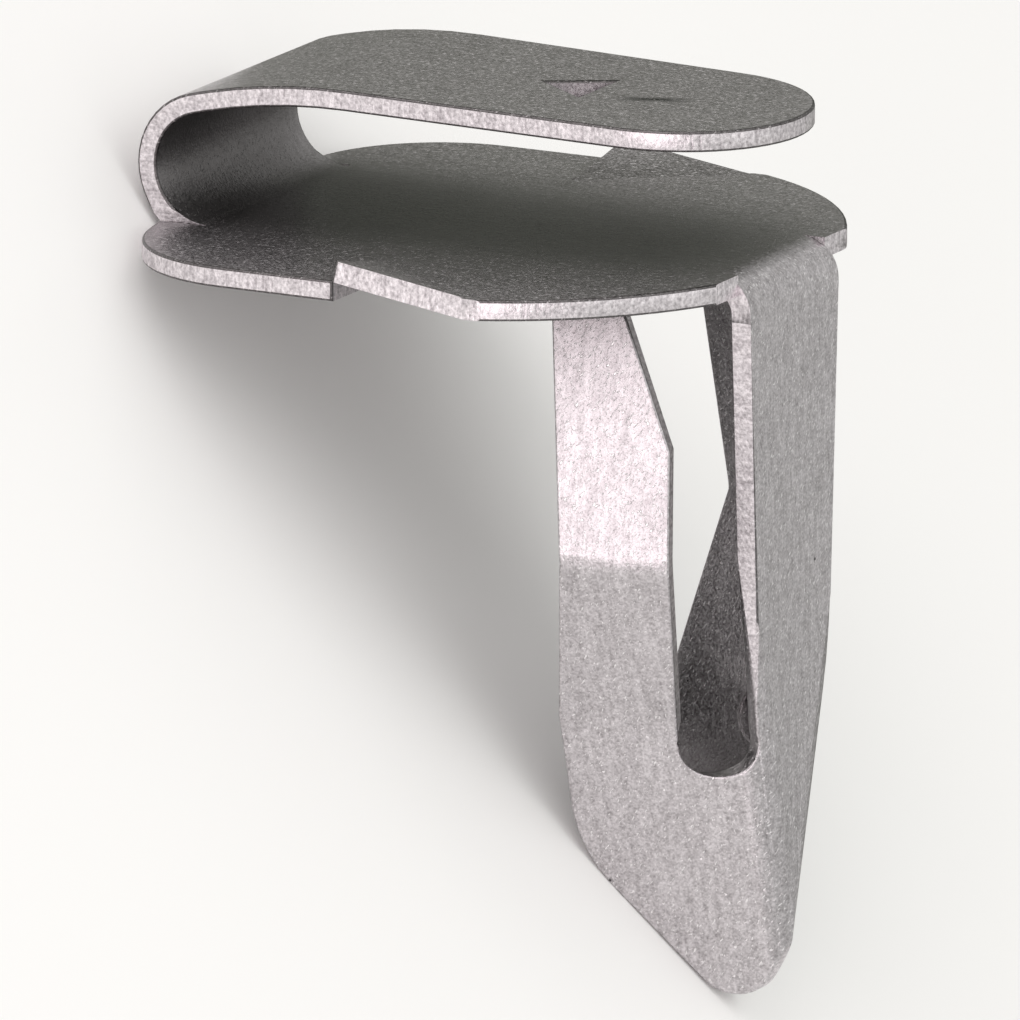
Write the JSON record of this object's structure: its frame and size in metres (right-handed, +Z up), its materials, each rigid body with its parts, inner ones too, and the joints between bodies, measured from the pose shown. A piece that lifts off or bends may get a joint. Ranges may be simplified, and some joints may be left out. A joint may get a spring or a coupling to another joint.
{
  "type": "trim panel fastener",
  "caption": "Folded spring steel clip with a U-shaped jaw that grips a panel edge and a pointed leg with sprung fingers that snaps into a hole.",
  "frame": {"origin": "on the floor under the middle of the clip's bounding box, with the clip lying on the ends of its ears and on the corners of its two leg sides", "axes": "+X from the jaw bend towards the tip of the leg, +Z up from the floor, XZ is the mirror plane of the clip"},
  "size_m": [0.025, 0.0146, 0.0145],
  "materials": {
    "spring_steel": "dull tumbled grey, pitted by barrel finishing, brighter on the sheared edges"
  },
  "bodies": {
    "root": {"trim_clip": "spring_steel"}
  },
  "joints": []
}
